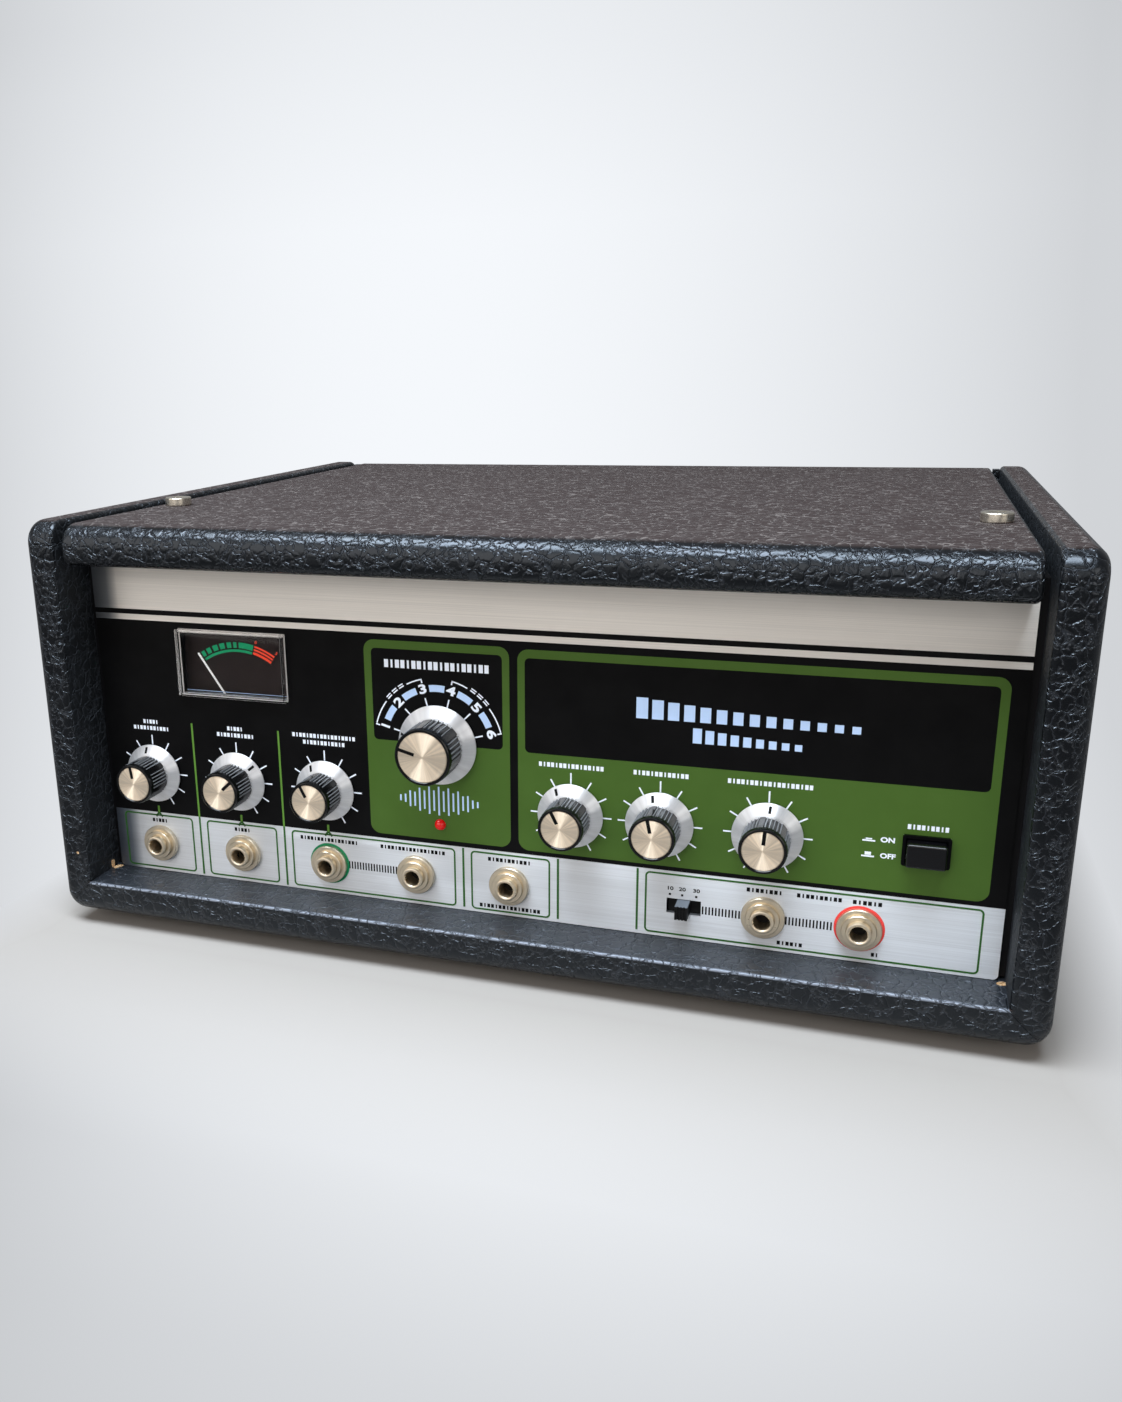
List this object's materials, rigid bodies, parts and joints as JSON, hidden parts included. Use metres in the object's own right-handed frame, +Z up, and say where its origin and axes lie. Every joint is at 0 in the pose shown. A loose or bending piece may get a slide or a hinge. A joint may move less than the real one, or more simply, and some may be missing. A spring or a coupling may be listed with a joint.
{
  "type": "tape echo unit",
  "caption": "Tape echo effect unit in a vinyl-covered wooden cabinet, with turning knobs, a level meter, jack sockets, a lift-off lid and a working tape deck inside.",
  "frame": {"origin": "on the standing surface, below the middle of the cabinet", "axes": "+X to the right as seen from the front, +Y to the back, +Z up"},
  "size_m": [0.4176, 0.32, 0.1884],
  "materials": {
    "vinyl_board": "plywood covered in black crackle-grain vinyl",
    "rubber": "matt moulded",
    "zinc_steel": "zinc plated",
    "black_steel": "matt black enamel",
    "bright_steel": "ground and polished",
    "brushed_plate": "brushed along its length, screen printed in black, green and pale blue",
    "nickel": "warm satin nickel",
    "black_plastic": "moulded, satin",
    "satin_aluminium": "spun",
    "gloss_black": "moulded, glossy",
    "clear_plastic": "clear, moulded",
    "dial_black": "printed in green and red",
    "white_paint": "white",
    "red_lens": "red, moulded",
    "tape_brown": "coated recording tape",
    "motor_grey": "satin",
    "transformer_iron": "varnished laminations",
    "board_green": "printed circuit board with its parts"
  },
  "bodies": {
    "cabinet": {"bottom_panel": "vinyl_board", "chamber_cover": "clear_plastic", "chassis_tray": "zinc_steel", "circuit_board": "board_green", "control_nuts": "zinc_steel", "cord_gland": "black_plastic", "deck_pins": "zinc_steel", "deck_plate": "zinc_steel", "drive_motor": "motor_grey", "fixing_screws": "zinc_steel", "front_panel": "brushed_plate", "fuse_holder": "black_plastic", "head_bridge": "bright_steel", "indicator_lamp": "red_lens", "jack_nuts": "nickel", "jack_sockets": "nickel", "level_switch": "black_plastic", "meter_case": "black_plastic", "meter_cover": "clear_plastic", "meter_dial": "dial_black", "mode_switch": "zinc_steel", "panel_brackets": "black_steel", "potentiometers": "zinc_steel", "power_bezel": "gloss_black", "power_switch": "black_plastic", "power_transformer": "transformer_iron", "rear_panel": "vinyl_board", "rear_plate": "zinc_steel", "rubber_feet": "rubber", "side_panel_left": "vinyl_board", "side_panel_right": "vinyl_board", "solenoid": "zinc_steel", "standoffs": "zinc_steel", "tape_chamber": "black_plastic", "tape_heads": "bright_steel", "tape_loop": "tape_brown"},
    "lid": {"top_lid": "vinyl_board"},
    "thumbscrew_left": {"thumbscrew_left": "nickel"},
    "thumbscrew_right": {"thumbscrew_right": "nickel"},
    "mic_volume_1": {"mic_volume_1_knob": "black_plastic", "mic_volume_1_metal": "satin_aluminium"},
    "mic_volume_2": {"mic_volume_2_knob": "black_plastic", "mic_volume_2_metal": "satin_aluminium"},
    "instrument_volume": {"instrument_volume_knob": "black_plastic", "instrument_volume_metal": "satin_aluminium"},
    "repeat_rate": {"repeat_rate_knob": "black_plastic", "repeat_rate_metal": "satin_aluminium"},
    "intensity": {"intensity_knob": "black_plastic", "intensity_metal": "satin_aluminium"},
    "echo_volume": {"echo_volume_knob": "black_plastic", "echo_volume_metal": "satin_aluminium"},
    "mode_selector": {"mode_selector_knob": "black_plastic", "mode_selector_metal": "satin_aluminium"},
    "power_button": {"power_button": "gloss_black"},
    "level_slider": {"level_slider": "black_plastic"},
    "needle": {"meter_needle": "white_paint"},
    "capstan": {"capstan": "bright_steel"},
    "pinch_arm": {"pinch_arm": "zinc_steel"},
    "pinch_roller": {"pinch_roller": "rubber"},
    "plunger": {"solenoid_plunger": "bright_steel"}
  },
  "joints": [
    {"name": "lid_lift", "type": "slide", "parent": "cabinet", "child": "lid", "axis": [0, 0, 1], "range_m": [0, 0.12]},
    {"name": "thumbscrew_left_turn", "type": "hinge", "parent": "lid", "child": "thumbscrew_left", "pos_m": [-0.1785, -0.083, 0.186], "axis": [0, 0, 1], "continuous": true},
    {"name": "thumbscrew_right_turn", "type": "hinge", "parent": "lid", "child": "thumbscrew_right", "pos_m": [0.1785, -0.083, 0.186], "axis": [0, 0, 1], "continuous": true},
    {"name": "mic_volume_1_turn", "type": "hinge", "parent": "cabinet", "child": "mic_volume_1", "pos_m": [-0.1677, -0.1381, 0.0701], "axis": [0, 1, 0], "range_deg": [-142, 158]},
    {"name": "mic_volume_2_turn", "type": "hinge", "parent": "cabinet", "child": "mic_volume_2", "pos_m": [-0.12475, -0.1381, 0.0701], "axis": [0, 1, 0], "range_deg": [-198, 102]},
    {"name": "instrument_volume_turn", "type": "hinge", "parent": "cabinet", "child": "instrument_volume", "pos_m": [-0.0818, -0.1381, 0.0701], "axis": [0, 1, 0], "range_deg": [-123, 177]},
    {"name": "repeat_rate_turn", "type": "hinge", "parent": "cabinet", "child": "repeat_rate", "pos_m": [0.0273, -0.1381, 0.0701], "axis": [0, 1, 0], "range_deg": [-123, 177]},
    {"name": "intensity_turn", "type": "hinge", "parent": "cabinet", "child": "intensity", "pos_m": [0.0634, -0.1381, 0.0701], "axis": [0, 1, 0], "range_deg": [-138, 162]},
    {"name": "echo_volume_turn", "type": "hinge", "parent": "cabinet", "child": "echo_volume", "pos_m": [0.105, -0.1381, 0.0701], "axis": [0, 1, 0], "range_deg": [-154, 146]},
    {"name": "mode_selector_turn", "type": "hinge", "parent": "cabinet", "child": "mode_selector", "pos_m": [-0.02925, -0.1381, 0.0952], "axis": [0, 1, 0], "range_deg": [0, 150]},
    {"name": "power_push", "type": "slide", "parent": "cabinet", "child": "power_button", "axis": [0, 1, 0], "range_m": [0, 0.004], "stiffness_N_per_m": 300, "springref_m": -0.002},
    {"name": "level_slide", "type": "slide", "parent": "cabinet", "child": "level_slider", "axis": [1, 0, 0], "range_m": [-0.0042, 0.0042]},
    {"name": "needle_swing", "type": "hinge", "parent": "cabinet", "child": "needle", "pos_m": [-0.12405, -0.1338, 0.099], "axis": [0, 1, 0], "range_deg": [0, 68], "stiffness_Nm_per_rad": 0.00006, "springref_deg": -17.19},
    {"name": "capstan_spin", "type": "hinge", "parent": "cabinet", "child": "capstan", "pos_m": [0.062, -0.07005, 0.15], "axis": [0, 0, 1], "continuous": true},
    {"name": "pinch_arm_swing", "type": "hinge", "parent": "cabinet", "child": "pinch_arm", "pos_m": [0.084, -0.03505, 0.156], "axis": [0, 0, -1], "range_deg": [0, 8]},
    {"name": "pinch_roller_spin", "type": "hinge", "parent": "pinch_arm", "child": "pinch_roller", "pos_m": [0.062, -0.05475, 0.15], "axis": [0, 0, 1], "continuous": true},
    {"name": "plunger_slide", "type": "slide", "parent": "cabinet", "child": "plunger", "axis": [0, -1, 0], "range_m": [0, 0.0056]}
  ],
  "couplings": [
    {"joint": "pinch_roller_spin", "follows": "capstan_spin", "ratio": -0.36364},
    {"joint": "plunger_slide", "follows": "pinch_arm_swing", "m_per_rad": 0.04}
  ]
}
